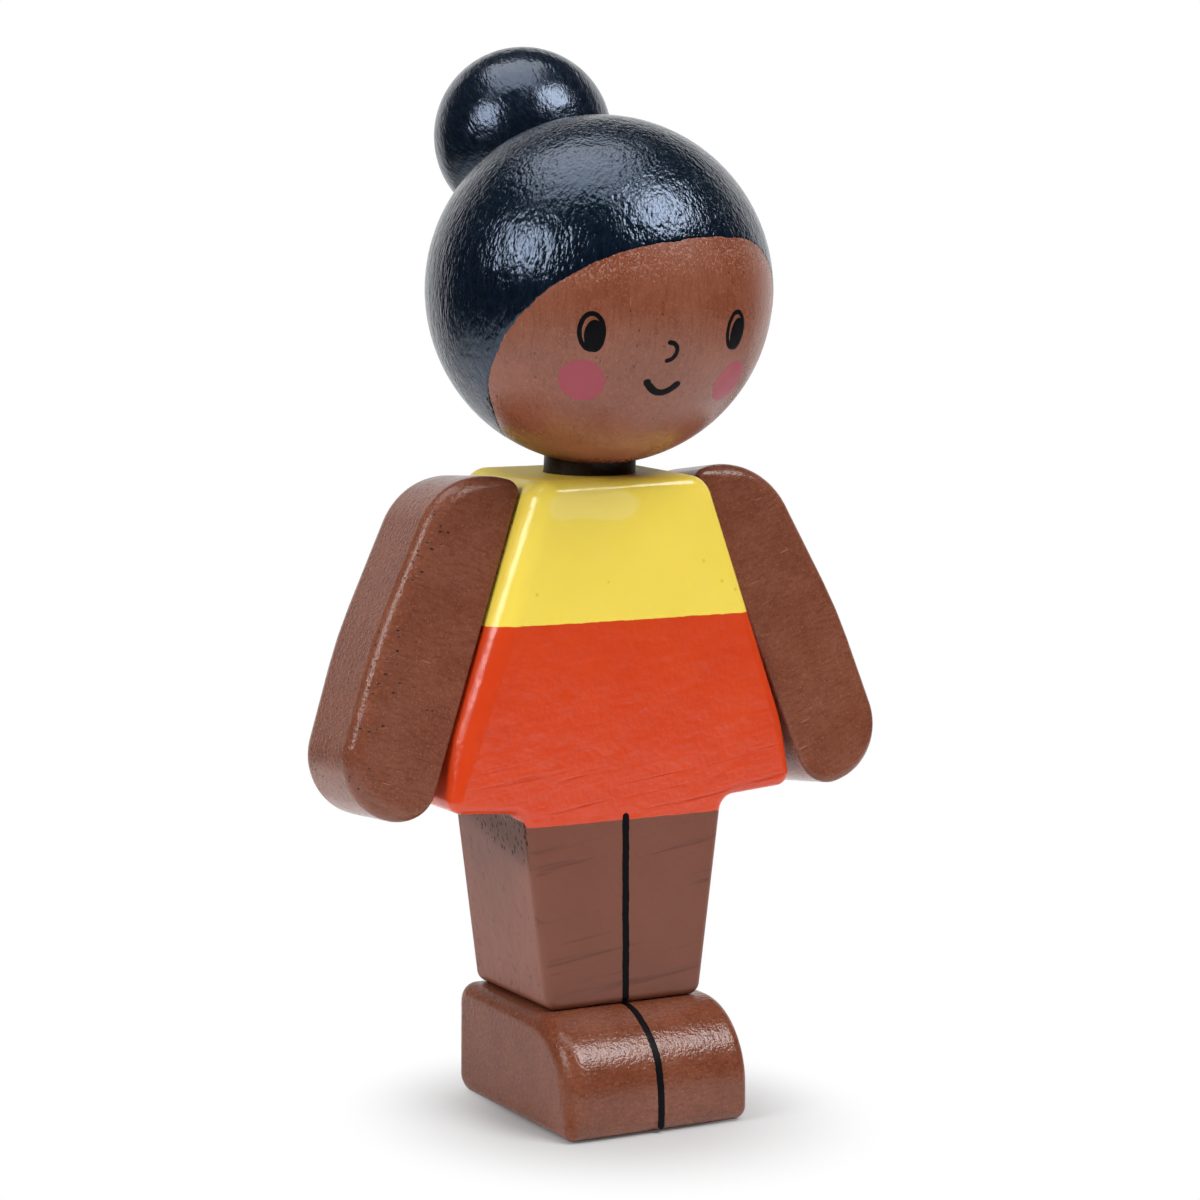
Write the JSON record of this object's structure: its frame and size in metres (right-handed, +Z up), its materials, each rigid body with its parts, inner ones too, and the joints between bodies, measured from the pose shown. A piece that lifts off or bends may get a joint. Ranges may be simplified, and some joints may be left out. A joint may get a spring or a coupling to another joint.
{
  "type": "wooden toy figure",
  "caption": "Standing painted wooden toy figure with a turning ball head, hair bun, flared dress block, hinged slab arms and a foot block.",
  "frame": {"origin": "on the flat sole, under the middle of the dress block", "axes": "+Z up through the figure, -Y to the figure's front, +X to the figure's left"},
  "size_m": [0.0514, 0.0403, 0.0931],
  "materials": {
    "skin_paint": "satin brown paint on wood, fine pores showing",
    "hair_paint": "gloss blue-black paint on wood",
    "dress_paint": "gloss paint on wood, yellow above, orange-red below, brown on the legs",
    "bare_wood": "bare wood"
  },
  "bodies": {
    "torso": {"body_block": "dress_paint", "foot_block": "skin_paint", "right_foot_dowel": "bare_wood", "left_foot_dowel": "bare_wood", "neck_dowel": "skin_paint"},
    "head": {"head_ball": "skin_paint", "hair_bun": "hair_paint", "bun_dowel": "bare_wood"},
    "right_arm": {"right_arm": "skin_paint", "right_arm_dowel": "bare_wood"},
    "left_arm": {"left_arm": "skin_paint", "left_arm_dowel": "bare_wood"}
  },
  "joints": [
    {"name": "head_turn", "type": "hinge", "parent": "torso", "child": "head", "pos_m": [0, -0.0004, 0.05565], "axis": [0, -0.1132, 0.9936], "continuous": true},
    {"name": "right_arm_swing", "type": "hinge", "parent": "torso", "child": "right_arm", "pos_m": [-0.01037, 0, 0.04952], "axis": [-0.9426, 0, 0.3338], "range_deg": [-134, 116]},
    {"name": "left_arm_swing", "type": "hinge", "parent": "torso", "child": "left_arm", "pos_m": [0.01037, 0, 0.04952], "axis": [-0.9426, 0, -0.3338], "range_deg": [-138, 113]}
  ]
}
